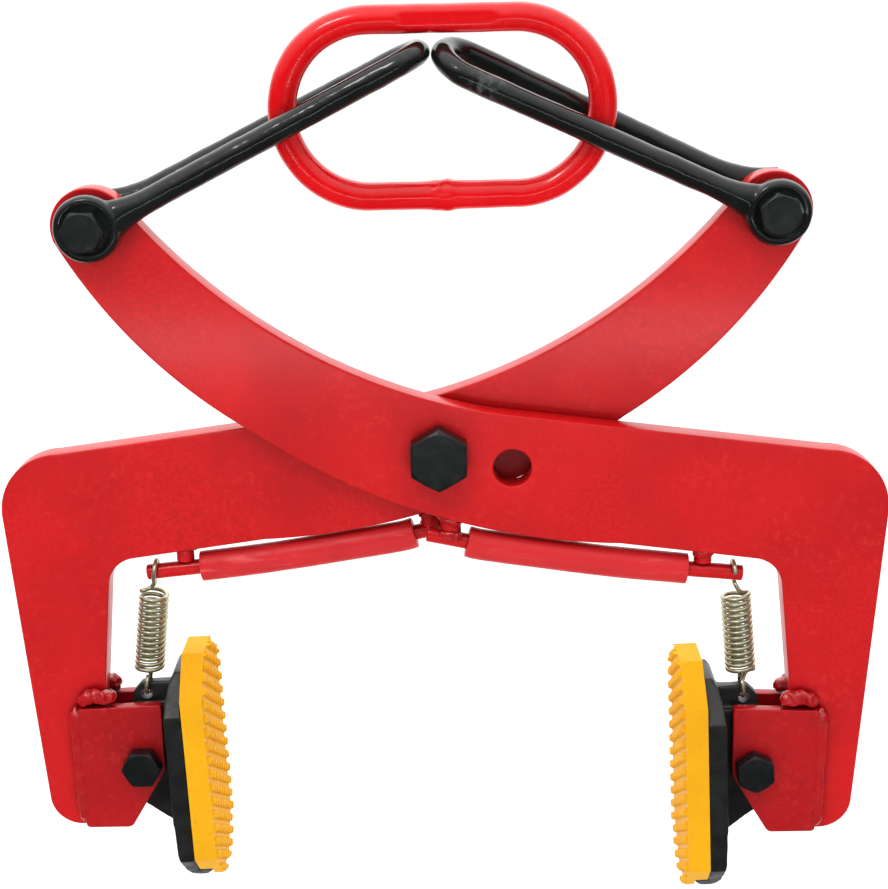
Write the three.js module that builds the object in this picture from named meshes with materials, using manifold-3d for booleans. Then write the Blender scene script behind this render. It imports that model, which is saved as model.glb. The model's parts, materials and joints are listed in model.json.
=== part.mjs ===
// Scissor-type plate lifting clamp: master link, two shackles, two crossed plate arms,
// hinged pad holders with studded pads, return springs and carrying handles.
// Millimetres, +Z up, +X across the jaws, -Y towards the bolt heads.
import * as THREE from 'three';
import Module from 'manifold-3d';
import { mergeVertices } from 'three/addons/utils/BufferGeometryUtils.js';

const wasm = await Module();
wasm.setup();

// ---------------------------------------------------------------- driving dimensions
const GAP = 0.3;                      // clearance kept between faces that touch

const PLATE = 18;                     // arm plate thickness
const ARM_OFFSET = 10;                // each arm's mid-plane from the clamp's mid-plane
const EDGE = 1.2;                     // chamfer on the edges of flame-cut plates

const TIP = [-214.5, 152.3];          // shackle bolt, in the front arm's X and Z
const TIP_RADIUS = 24.5;
const SECOND_HOLE = [47.4, -9.3];     // spare pivot hole
const JAW = [208.5, -222];            // pad holder bolt

const M24 = { shank: 12, across: 36, head: 15, nut: 19, hole: 12.5, washer: [22, 4] };
const M16 = { shank: 8, across: 24, head: 10, nut: 13, hole: 8.5, washer: [15, 3] };

const CHEEK = 8;                      // cheek plate thickness
const LUG = 17;                       // pad holder lug thickness
const EAR = 9;                        // thickness of the lug's spring ear

const PAD_HALF_WIDTH = 40;
const PAD_FLAT = 16;                  // half width of the pad's flat top and bottom
const PAD_CHAMFER = 24;               // height of its corner chamfers
const PAD_TOP = 80;                   // heights from the jaw bolt
const PAD_BOTTOM = -86.7;
const PAD_BACK = -33;                 // pad seat, inboard of the jaw bolt
const PAD_THICK = 14.6;
const STUD = 2.7;
const HOLDER_TOP = 67.6;
const HOLDER_BOTTOM = -87;
const LIP = { thick: 8, reach: 8.6 };
const PAD_TILT = { right: 2.2, left: -1.6 };  // degrees, foot of the pad outward

const ROD = 5.2;                      // handle rod radius
const GRIP = 10.3;                    // grip sleeve radius
const STUB = { x: 173, z: -78.8, length: 14, radius: 5.3 };
const POST = { x: 6.7, from: -59.6, to: -36, radius: 6.8 };

const SPRING = { radius: 8.4, wire: 1.15, turns: 14, pitch: 3.95 };
const EAR_HOLE = [-4.6, 47];          // from the jaw bolt
const EAR_HOLE_RADIUS = 3.6;
const SPRING_HOOK = [194, -86.7];     // where the spring hangs on the rod

const SHACKLE = { bar: 7.6, length: 230, eye: 21, eyeInner: 10.3, eyeOuter: 25.3, hole: 9.3, bow: 19.2 };
const SHACKLE_RISE = { left: 26, right: 26.2 };      // degrees above horizontal
const SHACKLE_LEAN = Math.asin(ARM_OFFSET / SHACKLE.length);
// How far each bent leg stands off the shackle's own plane, at its eye and at its bow.
const LEG_LIFT = {
  left: { front: [-2.6, -0.3], rear: [1.5, 1.5] },
  right: { front: [-1, -7], rear: [5, 4.3] },
};

const LINK = { bar: 9, end: 54, straight: 45.7, x: 6.8, z: 219.5, yaw: 2 };
const LINK_PANEL = { x: 3, length: 59, height: 11, depth: 1.3 };
const LINK_SEAM = { length: 18, swell: 1.1 };
const HOOK_SEAT = LINK.z + LINK.end - LINK.bar;

// ---------------------------------------------------------------- materials
const finish = (color, roughness, metalness) => new THREE.MeshStandardMaterial({ color, roughness, metalness });
const redPaint = finish(0xc92a28, 0.35, 0.1);
const glossRed = finish(0xd81f22, 0.2, 0.1);
const blackPaint = finish(0x1d1f1e, 0.4, 0.2);
const castBlack = finish(0x222423, 0.5, 0.2);
const boltBlack = finish(0x232527, 0.45, 0.6);
const yellowPad = finish(0xf2ae1c, 0.5, 0);
const gripRed = finish(0xd93238, 0.55, 0);
const springZinc = finish(0xbdb795, 0.35, 0.9);

// ---------------------------------------------------------------- helpers
const radians = THREE.MathUtils.degToRad;

function solid(geometry) {
  const bare = geometry.index ? geometry.toNonIndexed() : geometry.clone();
  bare.deleteAttribute('normal');
  bare.deleteAttribute('uv');
  const merged = mergeVertices(bare, 1e-4);
  return new wasm.Manifold(new wasm.Mesh({
    numProp: 3,
    vertProperties: new Float32Array(merged.attributes.position.array),
    triVerts: new Uint32Array(merged.index.array),
  }));
}

function geometryOf(manifold) {
  const mesh = manifold.getMesh();
  const geometry = new THREE.BufferGeometry();
  geometry.setAttribute('position', new THREE.BufferAttribute(new Float32Array(mesh.vertProperties), 3));
  geometry.setIndex(new THREE.BufferAttribute(new Uint32Array(mesh.triVerts), 1));
  return geometry;
}

const cut = (geometry, ...tools) =>
  geometryOf(tools.reduce((body, tool) => body.subtract(solid(tool)), solid(geometry)));
const join = (geometry, ...others) =>
  geometryOf(others.reduce((body, other) => body.add(solid(other)), solid(geometry)));
const common = (a, b) => geometryOf(solid(a).intersect(solid(b)));

// Adds the arc from the outline's current point through `mid` to `end`.
function arcThrough(outline, mid, end) {
  const start = outline.currentPoint;
  const [ax, ay, bx, by] = [mid[0] - start.x, mid[1] - start.y, end[0] - start.x, end[1] - start.y];
  const d = 2 * (ax * by - ay * bx);
  const ux = (by * (ax * ax + ay * ay) - ay * (bx * bx + by * by)) / d;
  const uy = (ax * (bx * bx + by * by) - bx * (ax * ax + ay * ay)) / d;
  const [cx, cy] = [start.x + ux, start.y + uy];
  const from = Math.atan2(start.y - cy, start.x - cx);
  const to = Math.atan2(end[1] - cy, end[0] - cx);
  outline.absarc(cx, cy, Math.hypot(ux, uy), from, to, d < 0);
}

// Extrudes an outline drawn in X and Z, centred on y = 0.
function slab(outline, thickness, chamfer = 0, segments = 10) {
  const geometry = new THREE.ExtrudeGeometry(outline, {
    depth: thickness - 2 * chamfer,
    curveSegments: segments,
    bevelEnabled: chamfer > 0,
    bevelThickness: chamfer,
    bevelSize: chamfer,
    bevelOffset: -chamfer,
    bevelSegments: 1,
  });
  geometry.translate(0, 0, chamfer - thickness / 2);
  return geometry.rotateX(Math.PI / 2);
}

function polygon(points) {
  return new THREE.Shape(points.map(([x, z]) => new THREE.Vector2(x, z)));
}

// A round bar or hole along Y from `from` to `to`.
function barAlongY(radius, from, to, [x, z] = [0, 0], sides = 20) {
  const geometry = new THREE.CylinderGeometry(radius, radius, to - from, sides);
  return geometry.translate(x, (from + to) / 2, z);
}

function turned(profile, sides) {
  return new THREE.LatheGeometry(profile.map(([r, y]) => new THREE.Vector2(r, y)), sides);
}

function sweep(points, radius, sides, steps, inner = 0) {
  const path = new THREE.CatmullRomCurve3(points.map((p) => new THREE.Vector3(...p)));
  path.arcLengthDivisions = 2000;
  const section = new THREE.Shape().absarc(0, 0, radius, 0, 2 * Math.PI);
  if (inner > 0) section.holes.push(new THREE.Path().absarc(0, 0, inner, 0, 2 * Math.PI));
  return new THREE.ExtrudeGeometry(section, { extrudePath: path, steps, curveSegments: sides / 2 });
}

// Flips a geometry front to back when `sign` is negative.
function mirrored(geometry, sign) {
  if (sign > 0) return geometry;
  const body = solid(geometry).mirror([0, 1, 0]);
  return geometryOf(body);
}

const clamp = new THREE.Group();

function place(parent, name, geometry, material) {
  const mesh = new THREE.Mesh(geometry, material);
  mesh.name = name;
  parent.add(mesh);
  return mesh;
}

// ---------------------------------------------------------------- fasteners
function hexPrism(across, from, to, turn) {
  const corner = across / Math.sqrt(3);
  const prism = new THREE.CylinderGeometry(corner, corner, to - from, 6);
  prism.rotateY(turn).translate(0, (from + to) / 2, 0);
  const soften = across * 0.04;
  const cone = turned([
    [0, from], [corner, from], [corner, to - soften], [across / 2, to], [0, to],
  ], 18);
  return common(prism, cone);
}

// Head at the front (-Y); `front` and `rear` are the faces it clamps, measured from y = 0.
function fasten(name, size, [x, z], front, rear, turn, midPlane) {
  const group = new THREE.Group();
  group.position.set(x, midPlane, z);
  clamp.add(group);
  const head = hexPrism(size.across, 0, size.head, turn).rotateX(Math.PI).translate(0, front - GAP, 0);
  const washerFrom = rear + GAP;
  const washerTo = washerFrom + size.washer[1];
  const nutFrom = washerTo + GAP;
  const nutTo = nutFrom + size.nut;
  const shank = turned([
    [0, front - GAP - 1],
    [size.shank, front - GAP - 1],
    [size.shank, nutTo + 4],
    [size.shank - 1.5, nutTo + 5.5],
    [0, nutTo + 5.5],
  ], 20);
  place(group, `${name}_bolt`, join(head, shank), boltBlack);
  place(group, `${name}_washer`, cut(
    barAlongY(size.washer[0], washerFrom, washerTo),
    barAlongY(size.hole, washerFrom - 1, washerTo + 1),
  ), boltBlack);
  place(group, `${name}_nut`, cut(
    hexPrism(size.across, nutFrom, nutTo, turn + 0.3),
    barAlongY(size.shank + 0.4, nutFrom - 1, nutTo + 1),
  ), boltBlack);
}

// ---------------------------------------------------------------- arms
const ROD_PATH = [
  [199.5, -87.3], [183, -85.6], [162.5, -83.6], [120, -78.7],
  [80, -73], [30, -65], [17.5, -62], [4, -59], [-9, -56.2],
];
const GRIP_POINTS = [2, 7];           // the grip sleeve covers this stretch of the rod's points
const CHEEK_WELD = { leg: 6.5, belly: 5.2, length: 84, foot: [252.4, -268] };
const POST_WELD = { radius: 9.6, depth: 3.2, slope: 16.7, edge: -44.4 };   // in the arm's sloping lower edge

// Front arm: horn up to the left, bar and leg down to the right.
const ARM_SEGMENTS = 7;                 // steps in each curve of the outline
const HORN_TOP = [TIP[0] + TIP_RADIUS * 0.68, TIP[1] + TIP_RADIUS * 0.73];

function armOutline() {
  const outline = new THREE.Shape();
  outline.moveTo(...HORN_TOP);
  arcThrough(outline, [-107, 84.8], [35, 27.4]);
  outline.lineTo(252, -0.7);
  arcThrough(outline, [281.5, -13.5], [292.4, -42]);
  outline.lineTo(277.3, -250);
  arcThrough(outline, [270.5, -265.5], [256, -271.5]);
  outline.lineTo(249, -271.5);
  arcThrough(outline, [244, -269], [242, -262]);
  outline.lineTo(224.6, -93);
  arcThrough(outline, [219, -80.5], [206, -74.3]);
  outline.lineTo(118, -62.4);
  arcThrough(outline, [-10, -39], [-122, 19.1]);
  arcThrough(outline, [-187, 72.7], [TIP[0] - TIP_RADIUS * 0.96, TIP[1] - TIP_RADIUS * 0.37]);
  arcThrough(outline, [TIP[0] - TIP_RADIUS * 0.85, TIP[1] + TIP_RADIUS * 0.53], HORN_TOP);
  return outline;
}

function armPlate() {
  const plate = slab(armOutline(), PLATE, EDGE, ARM_SEGMENTS);
  return cut(
    plate,
    barAlongY(M24.hole, -PLATE, PLATE),
    barAlongY(M24.hole, -PLATE, PLATE, SECOND_HOLE),
    barAlongY(M16.hole, -PLATE, PLATE, TIP),
  );
}

function cheekPlate() {
  const outline = polygon([[193.5, -178], [252, -180.5], [251.5, -267], [248.5, -270], [221, -270],
    [216.5, -267.5], [193.8, -227]]);
  return cut(slab(outline, CHEEK, 0.8), barAlongY(M16.hole, -CHEEK, CHEEK, JAW));
}

// Fillet along a cheek's outer edge, lying in the corner with the leg's rear face.
function cheekWeld() {
  const { leg, belly, length, foot } = CHEEK_WELD;
  const outline = new THREE.Shape();
  outline.moveTo(0, 0);
  outline.lineTo(leg, 0);
  outline.quadraticCurveTo(belly, belly, 0, leg);
  const bead = new THREE.ExtrudeGeometry(outline, { depth: length, bevelEnabled: false, curveSegments: 4 });
  return bead.translate(foot[0], PLATE / 2 + GAP, foot[1]);
}

const ROD_SIDES = 10;
const ROD_STEPS = 26;
const rodPoints = (from, to) => ROD_PATH.slice(from, to).map(([x, z]) => [x, 0, z]);

// The space the arm plate fills, for trimming what butts against its edge.
const armSpace = () => slab(armOutline(), PLATE + 2, 0, ARM_SEGMENTS);

function handleStub() {
  const post = new THREE.CylinderGeometry(STUB.radius, STUB.radius, STUB.length, 16).rotateX(Math.PI / 2);
  post.translate(STUB.x, 0, STUB.z);
  return cut(post, sweep(rodPoints(0), ROD + GAP + 0.2, ROD_SIDES, ROD_STEPS), armSpace());
}

// The post near the pivot that ties the rod to the arm's lower edge.
function handlePost() {
  const { x, from, to, radius } = POST;
  const post = new THREE.CylinderGeometry(radius, radius, to - from, 20).rotateX(Math.PI / 2);
  post.translate(x, 0, (from + to) / 2);
  return cut(post, sweep(rodPoints(0), ROD + GAP + 0.2, ROD_SIDES, ROD_STEPS), armSpace());
}

function postWeld() {
  const { radius, depth, slope, edge } = POST_WELD;
  const collar = turned([[0, -depth], [radius - 1.5, -depth], [radius, 0], [radius, 3], [0, 3]], 20);
  collar.rotateX(Math.PI / 2).rotateY(radians(slope)).translate(POST.x, 0, edge);
  const bore = new THREE.CylinderGeometry(POST.radius + GAP, POST.radius + GAP, 40, 20).rotateX(Math.PI / 2);
  bore.translate(POST.x, 0, edge);
  return cut(collar, bore, armSpace());
}

// The same arm either way round: `turn` faces the left one to the rear.
function buildArm(side, midPlane, turn) {
  const arm = new THREE.Group();
  arm.position.set(0, midPlane, 0);
  arm.rotation.z = turn;
  clamp.add(arm);
  place(arm, side === 'right' ? 'arm_front' : 'arm_back', armPlate(), redPaint);
  const faces = turn === 0 ? [['front', -1], ['rear', 1]] : [['front', 1], ['rear', -1]];
  for (const [face, sign] of faces) {
    const offset = sign * (PLATE / 2 + GAP + CHEEK / 2);
    place(arm, `cheek_${side}_${face}`, cheekPlate().translate(0, offset, 0), redPaint);
    place(arm, `cheek_weld_${side}_${face}`, mirrored(cheekWeld(), sign), redPaint);
  }
  place(arm, `handle_rod_${side}`, sweep(rodPoints(0), ROD, ROD_SIDES, ROD_STEPS), redPaint);
  place(arm, `handle_stub_${side}`, handleStub(), redPaint);
  place(arm, `handle_post_${side}`, handlePost(), redPaint);
  place(arm, `handle_weld_${side}`, postWeld(), redPaint);
  place(arm, `grip_${side}`, sweep(rodPoints(...GRIP_POINTS), GRIP, 12, 8, ROD + GAP + 0.3), gripRed);
  place(arm, `spring_${side}`, returnSpring(side), springZinc);
}

// ---------------------------------------------------------------- springs
function returnSpring(side) {
  const top = SPRING_HOOK;
  const tilt = radians(PAD_TILT[side]);
  const bottom = [
    JAW[0] + EAR_HOLE[0] * Math.cos(tilt) - EAR_HOLE[1] * Math.sin(tilt),
    JAW[1] + EAR_HOLE[0] * Math.sin(tilt) + EAR_HOLE[1] * Math.cos(tilt),
  ];
  const span = Math.hypot(top[0] - bottom[0], top[1] - bottom[1]);
  const lean = Math.atan2(bottom[0] - top[0], top[1] - bottom[1]);
  const coilHeight = SPRING.turns * SPRING.pitch;
  const coilBottom = (span - coilHeight) / 2 + 1.5;
  const topLoop = ROD + SPRING.wire + 1.1;
  const bottomLoop = 7.2;
  const points = [];
  for (let i = 0; i <= 9; i += 1) {
    const a = radians(-60 + 32 * i);
    points.push([0, bottomLoop * Math.cos(a), bottomLoop + bottomLoop * Math.sin(a) * -1]);
  }
  const perTurn = 8;
  const coilSteps = SPRING.turns * perTurn;
  points.push([4, 1, coilBottom - 1.8]);
  for (let i = 0; i <= coilSteps; i += 1) {
    const a = (2 * Math.PI * i) / perTurn;
    const z = coilBottom + (coilHeight * i) / coilSteps;
    points.push([SPRING.radius * Math.cos(a), SPRING.radius * Math.sin(a), z]);
  }
  points.push([3, -2.5, coilBottom + coilHeight + 2]);
  for (let i = 0; i <= 8; i += 1) {
    const a = radians(-100 + 34 * i);
    points.push([0, topLoop * Math.cos(a), span + topLoop * Math.sin(a)]);
  }
  const wire = sweep(points, SPRING.wire, 5, points.length + 6);
  return wire.rotateY(-lean).translate(bottom[0], 0, bottom[1]);
}

// ---------------------------------------------------------------- pads and holders
// Drawn about the jaw bolt: X outward, Z up.
function octagonBlock(top, bottom, from, to) {
  const w = PAD_HALF_WIDTH;
  const outline = polygon([
    [-PAD_FLAT, bottom], [PAD_FLAT, bottom], [w, bottom + PAD_CHAMFER], [w, top - PAD_CHAMFER],
    [PAD_FLAT, top], [-PAD_FLAT, top], [-w, top - PAD_CHAMFER], [-w, bottom + PAD_CHAMFER],
  ]);
  return slab(outline, to - from).rotateZ(Math.PI / 2).translate((from + to) / 2, 0, 0);
}

function padHolder() {
  const back = PAD_BACK;
  const lipEnd = back - LIP.reach;
  const side = polygon([[back, HOLDER_TOP], [back + 6.5, HOLDER_TOP], [back + 12.6, 46], [back + 13, -32],
    [back + 9.6, -80], [back + 7, -85.5], [back + 3, HOLDER_BOTTOM], [lipEnd + 4, HOLDER_BOTTOM],
    [lipEnd, HOLDER_BOTTOM + 5], [lipEnd, HOLDER_BOTTOM + LIP.thick], [back, HOLDER_BOTTOM + LIP.thick]]);
  const plate = common(
    slab(side, 2 * PAD_HALF_WIDTH),
    octagonBlock(HOLDER_TOP, HOLDER_BOTTOM, lipEnd - 1, back + 20),
  );
  const lug = new THREE.Shape();
  lug.moveTo(back + 10, 40);
  lug.lineTo(4, 40);
  lug.lineTo(15, 9);
  arcThrough(lug, [16.8, -5], [9, -30]);
  lug.lineTo(back + 14, -51);
  lug.lineTo(back + 9, -52);
  const ear = polygon([[back + 10, 35], [back + 10, 56], [-2, 56], [4.6, 49.5], [7, 35]]);
  const body = join(plate, slab(lug, LUG, 0, 8), slab(ear, EAR));
  return cut(
    body,
    barAlongY(M16.hole, -LUG, LUG),
    barAlongY(EAR_HOLE_RADIUS, -LUG, LUG, EAR_HOLE, 16),
  );
}

function gripPad() {
  const back = PAD_BACK - GAP;
  const face = back - PAD_THICK - STUD;
  const block = octagonBlock(PAD_TOP, PAD_BOTTOM, face, back);
  const stepFrom = PAD_BACK - LIP.reach - GAP;
  const stepTop = HOLDER_BOTTOM + LIP.thick + GAP;
  const step = slab(polygon([
    [stepFrom, HOLDER_BOTTOM - 5], [back + 5, HOLDER_BOTTOM - 5], [back + 5, stepTop], [stepFrom, stepTop],
  ]), 3 * PAD_HALF_WIDTH);
  return cut(block, step);
}

function buildJaw(side, midPlane, turn) {
  const frame = new THREE.Group();
  frame.position.set(0, midPlane, 0);
  frame.rotation.z = turn;
  clamp.add(frame);
  const jaw = new THREE.Group();
  jaw.position.set(JAW[0], 0, JAW[1]);
  jaw.rotation.y = -radians(PAD_TILT[side]);
  frame.add(jaw);
  place(jaw, `pad_holder_${side}`, padHolder(), castBlack);
  place(jaw, `pad_${side}`, gripPad(), yellowPad);
}

// ---------------------------------------------------------------- shackles and master link
// Drawn along +X from its eyes to its bow; `low` and `high` are the legs at -Y and +Y.
function shackleBody(low, high) {
  const { bar, length, eye, eyeInner, eyeOuter, hole, bow } = SHACKLE;
  const bowStart = length - bow;
  const atEye = (eyeInner + eyeOuter) / 2;
  const legPoint = (s, sign, lift) => {
    const share = s / bowStart;
    return [s, sign * (atEye + (bow - atEye) * share), lift[0] + (lift[1] - lift[0]) * share];
  };
  const points = [];
  const legSteps = [12, 60, 120, 175, bowStart];
  for (const s of legSteps) points.push(legPoint(s, -1, low));
  for (const a of [30, 60, 90, 120, 150].map(radians)) {
    const share = (1 - Math.cos(a)) / 2;
    points.push([bowStart + bow * Math.sin(a), -bow * Math.cos(a), low[1] + (high[1] - low[1]) * share]);
  }
  for (const s of legSteps.reverse()) points.push(legPoint(s, 1, high));
  const soften = 1.5;
  const disc = (from, to) => turned([
    [0, from], [eye - soften, from], [eye, from + soften], [eye, to - soften], [eye - soften, to], [0, to],
  ], 24);
  return cut(
    join(sweep(points, bar, 12, 28), disc(-eyeOuter, -eyeInner), disc(eyeInner, eyeOuter)),
    barAlongY(hole, -eyeOuter - 1, eyeOuter + 1),
  );
}

function buildShackle(side) {
  const inward = side === 'left' ? 1 : -1;
  const { front, rear } = LEG_LIFT[side];
  const body = inward > 0 ? shackleBody(front, rear) : shackleBody(rear, front);
  const shackle = place(clamp, `shackle_${side}`, body, blackPaint);
  shackle.geometry.rotateZ(SHACKLE_LEAN);
  shackle.geometry.rotateY(-radians(SHACKLE_RISE[side]));
  if (inward < 0) shackle.rotation.z = Math.PI;
  shackle.position.set(inward * TIP[0], -inward * ARM_OFFSET, TIP[1]);
}

function masterLink() {
  const ring = new THREE.TorusGeometry(LINK.end, LINK.bar, 14, 28);
  ring.rotateZ(Math.PI / 28).rotateX(Math.PI / 2);
  const position = ring.attributes.position;      // the ring's halves are drawn apart into a long link
  for (let i = 0; i < position.count; i += 1) {
    position.setX(i, position.getX(i) + Math.sign(position.getX(i)) * LINK.straight);
  }
  const half = LINK_SEAM.length / 2;
  const crest = LINK.bar + LINK_SEAM.swell;
  const seam = turned([[0, -half], [LINK.bar - 0.5, -half], [crest, -half * 0.4], [crest, half * 0.4],
    [LINK.bar - 0.5, half], [0, half]], 16);
  seam.rotateZ(Math.PI / 2).translate(0, 0, -LINK.end);
  const panel = new THREE.BoxGeometry(LINK_PANEL.length, 4, LINK_PANEL.height);
  panel.translate(LINK_PANEL.x, -LINK.bar + LINK_PANEL.depth - 2, LINK.end);
  return cut(join(ring, seam), panel);
}

// ---------------------------------------------------------------- assembly
buildArm('right', -ARM_OFFSET, 0);
buildArm('left', ARM_OFFSET, Math.PI);
buildJaw('right', -ARM_OFFSET, 0);
buildJaw('left', ARM_OFFSET, Math.PI);
buildShackle('left');
buildShackle('right');

const link = place(clamp, 'master_link', masterLink(), glossRed);
link.position.set(LINK.x, 0, LINK.z);
link.rotation.z = radians(LINK.yaw);

fasten('pivot', M24, [0, 0], -ARM_OFFSET - PLATE / 2, ARM_OFFSET + PLATE / 2, 0, 0);
place(clamp, 'pivot_spacer', cut(
  barAlongY(30, -ARM_OFFSET + PLATE / 2 + GAP, ARM_OFFSET - PLATE / 2 - GAP),
  barAlongY(M24.hole, -5, 5),
), boltBlack);

const tipFace = SHACKLE.eyeOuter + 0.6;
fasten('tip_left', M16, TIP, -tipFace, tipFace, 0.52, -ARM_OFFSET);
fasten('tip_right', M16, [-TIP[0], TIP[1]], -tipFace, tipFace, 0.2, ARM_OFFSET);
const jawFace = PLATE / 2 + GAP + CHEEK;
fasten('jaw_right', M16, JAW, -jawFace, jawFace, 0.1, -ARM_OFFSET);
fasten('jaw_left', M16, [-JAW[0], JAW[1]], -jawFace, jawFace, 0.52, ARM_OFFSET);

// The origin is the crane hook's seat, under the middle of the master link's top bar.
const part = new THREE.Group();
clamp.position.set(-LINK.x, 0, -HOOK_SEAT);
part.add(clamp);

export default part;
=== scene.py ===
import json
import math

import bmesh
import bpy
import numpy as np
from mathutils import Matrix, Vector, noise
from mathutils.geometry import delaunay_2d_cdt, tessellate_polygon


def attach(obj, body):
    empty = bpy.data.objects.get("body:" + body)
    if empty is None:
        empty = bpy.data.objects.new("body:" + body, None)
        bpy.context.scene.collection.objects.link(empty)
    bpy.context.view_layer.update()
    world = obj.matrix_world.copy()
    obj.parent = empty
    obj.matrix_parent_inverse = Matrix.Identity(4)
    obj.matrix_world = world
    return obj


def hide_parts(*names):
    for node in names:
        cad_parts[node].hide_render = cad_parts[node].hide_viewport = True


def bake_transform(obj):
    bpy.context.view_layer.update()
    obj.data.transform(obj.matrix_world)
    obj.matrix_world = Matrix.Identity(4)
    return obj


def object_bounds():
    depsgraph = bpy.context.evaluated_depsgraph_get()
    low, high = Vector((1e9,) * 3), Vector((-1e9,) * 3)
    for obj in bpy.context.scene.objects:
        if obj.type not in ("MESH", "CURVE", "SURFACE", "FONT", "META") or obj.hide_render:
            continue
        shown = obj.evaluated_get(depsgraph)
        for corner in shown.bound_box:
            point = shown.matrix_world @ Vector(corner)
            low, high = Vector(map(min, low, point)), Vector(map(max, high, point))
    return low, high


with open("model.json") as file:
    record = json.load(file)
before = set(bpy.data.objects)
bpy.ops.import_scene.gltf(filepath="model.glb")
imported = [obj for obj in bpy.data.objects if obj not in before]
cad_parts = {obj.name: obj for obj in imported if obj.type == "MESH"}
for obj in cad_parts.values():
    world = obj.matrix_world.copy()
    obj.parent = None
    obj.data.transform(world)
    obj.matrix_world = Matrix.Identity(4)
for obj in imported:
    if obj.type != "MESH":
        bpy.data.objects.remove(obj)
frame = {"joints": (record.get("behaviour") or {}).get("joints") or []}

# Plate lifting clamp. Shapes are drawn in millimetres, each about the bolt that it turns on.
# They are placed from the frame's joints, and the master link from the frame's origin.

CAD_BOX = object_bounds()
MM = 0.001
UNIT = Matrix.Scale(MM, 4)
JOINTS = {joint["name"]: Vector(joint["pos_m"]) for joint in frame["joints"]}

# ---------------- dimensions, mm
# GAP is the clearance between neighbouring pieces. The arms' mid-planes stand ARM_OFFSET
# to either side of the clamp's own. Tilts and rises are in degrees.
GAP = 0.3
PLATE = 18
ARM_OFFSET = 10
EDGE_ROUND = 1.1
CHEEK = 8
PIVOT_HOLE = 12.5
BOLT_HOLE = 8.5

PIVOT = JOINTS["front_arm_swing"]
TIP = (JOINTS["left_shackle_swing"] - PIVOT) / MM
JAW = (JOINTS["right_jaw_tilt"] - PIVOT) / MM
SECOND_HOLE = (47.4, -9.3)

ROD = 5.2
GRIP = 10.3
PAD_TILT = {"right": 2.2, "left": -1.6}
RISE = {"left": 26, "right": 26.2}
SHACKLE_LENGTH = 230
LEAN = math.asin(ARM_OFFSET / SHACKLE_LENGTH)
LINK_BAR = 9
LINK_END = 54
LINK_STRAIGHT = 45.7
LINK_YAW = 2

# Angles between faces, in degrees, above which an edge stays sharp.
PLAIN = 40
TURNED = 35
FUSED = 60
BEADED = 70


# ---------------- places
def shift(x, y, z):
    return Matrix.Translation(Vector((x, y, z)) * MM)


def turned(angle, axis):
    return Matrix.Rotation(angle, 4, axis)


HALF_TURN = {"right": Matrix(), "left": turned(math.pi, "Z")}
SIDE = {"right": 1, "left": -1}
ARM_BODY = {"right": "front_arm", "left": "back_arm"}
ARM_AT = {
    side: Matrix.Translation(PIVOT) @ shift(0, -SIDE[side] * ARM_OFFSET, 0) @ HALF_TURN[side]
    for side in SIDE
}
JAW_AT = {
    side: Matrix.Translation(JOINTS[f"{side}_jaw_tilt"])
    @ HALF_TURN[side]
    @ turned(-math.radians(PAD_TILT[side]), "Y")
    for side in SIDE
}
SHACKLE_AT = {
    side: Matrix.Translation(JOINTS[f"{side}_shackle_swing"])
    @ (turned(math.pi, "Z") if side == "right" else Matrix())
    @ turned(-math.radians(RISE[side]), "Y")
    @ turned(LEAN, "Z")
    for side in SIDE
}


# ---------------- mesh helpers
TOUCHING = 1e-4


def add_object(name, data):
    obj = bpy.data.objects.new(name, data)
    bpy.context.scene.collection.objects.link(obj)
    return obj


def build(name, verts, faces, sharp=PLAIN):
    """A closed mesh object in millimetres, with its normals outward."""
    mesh = bpy.data.meshes.new(name)
    places = [tuple(map(float, v)) for v in verts]
    mesh.from_pydata(places, [], [tuple(map(int, f)) for f in faces])
    obj = add_object(name, mesh)
    tidy(obj, sharp)
    return obj


def tidy(obj, sharp):
    work = bmesh.new()
    work.from_mesh(obj.data)
    bmesh.ops.remove_doubles(work, verts=work.verts, dist=TOUCHING)
    bmesh.ops.dissolve_degenerate(work, dist=TOUCHING, edges=work.edges)
    bmesh.ops.recalc_face_normals(work, faces=work.faces)
    work.to_mesh(obj.data)
    work.free()
    obj.data.shade_smooth()
    obj.data.set_sharp_from_angle(angle=math.radians(sharp))


def bake(obj):
    """Applies the object's modifiers."""
    graph = bpy.context.evaluated_depsgraph_get()
    mesh = bpy.data.meshes.new_from_object(obj.evaluated_get(graph))
    obj.modifiers.clear()
    obj.data = mesh


def combine(obj, tool, operation, sharp=PLAIN):
    change = obj.modifiers.new("cut", "BOOLEAN")
    change.operation = operation
    change.solver = "EXACT"
    change.object = tool
    bake(obj)
    bpy.data.objects.remove(tool)
    tidy(obj, sharp)


def merge(name, *parts):
    """One object out of several, their surfaces left as they are."""
    work = bmesh.new()
    for part in parts:
        part.data.transform(part.matrix_world)
        work.from_mesh(part.data)
        bpy.data.objects.remove(part)
    mesh = bpy.data.meshes.new(name)
    work.to_mesh(mesh)
    work.free()
    return add_object(name, mesh)


def fuse(obj, voxel, rounds):
    """Melts overlapping solids into one skin with softened corners, as in a forging."""
    remesh = obj.modifiers.new("remesh", "REMESH")
    remesh.mode = "VOXEL"
    remesh.voxel_size = voxel
    smooth = obj.modifiers.new("smooth", "SMOOTH")
    smooth.factor = 0.5
    smooth.iterations = rounds
    bake(obj)
    tidy(obj, FUSED)


def bevelled(obj, width):
    bevel = obj.modifiers.new("bevel", "BEVEL")
    bevel.width = width
    bevel.segments = 2
    bevel.limit_method = "ANGLE"
    bevel.angle_limit = math.radians(25)
    bake(obj)
    tidy(obj, TURNED)
    return obj


def put(obj, at, body, material, slot, *nodes):
    """Moves a finished piece from millimetres to its place, gives it its material, hangs it on its
    body, and hides the CAD nodes that it replaces.
    """
    obj.data.transform(at @ UNIT)
    obj.data.materials.clear()
    obj.data.materials.append(material)
    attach(obj, body)
    if nodes:
        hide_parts(*nodes)


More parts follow.
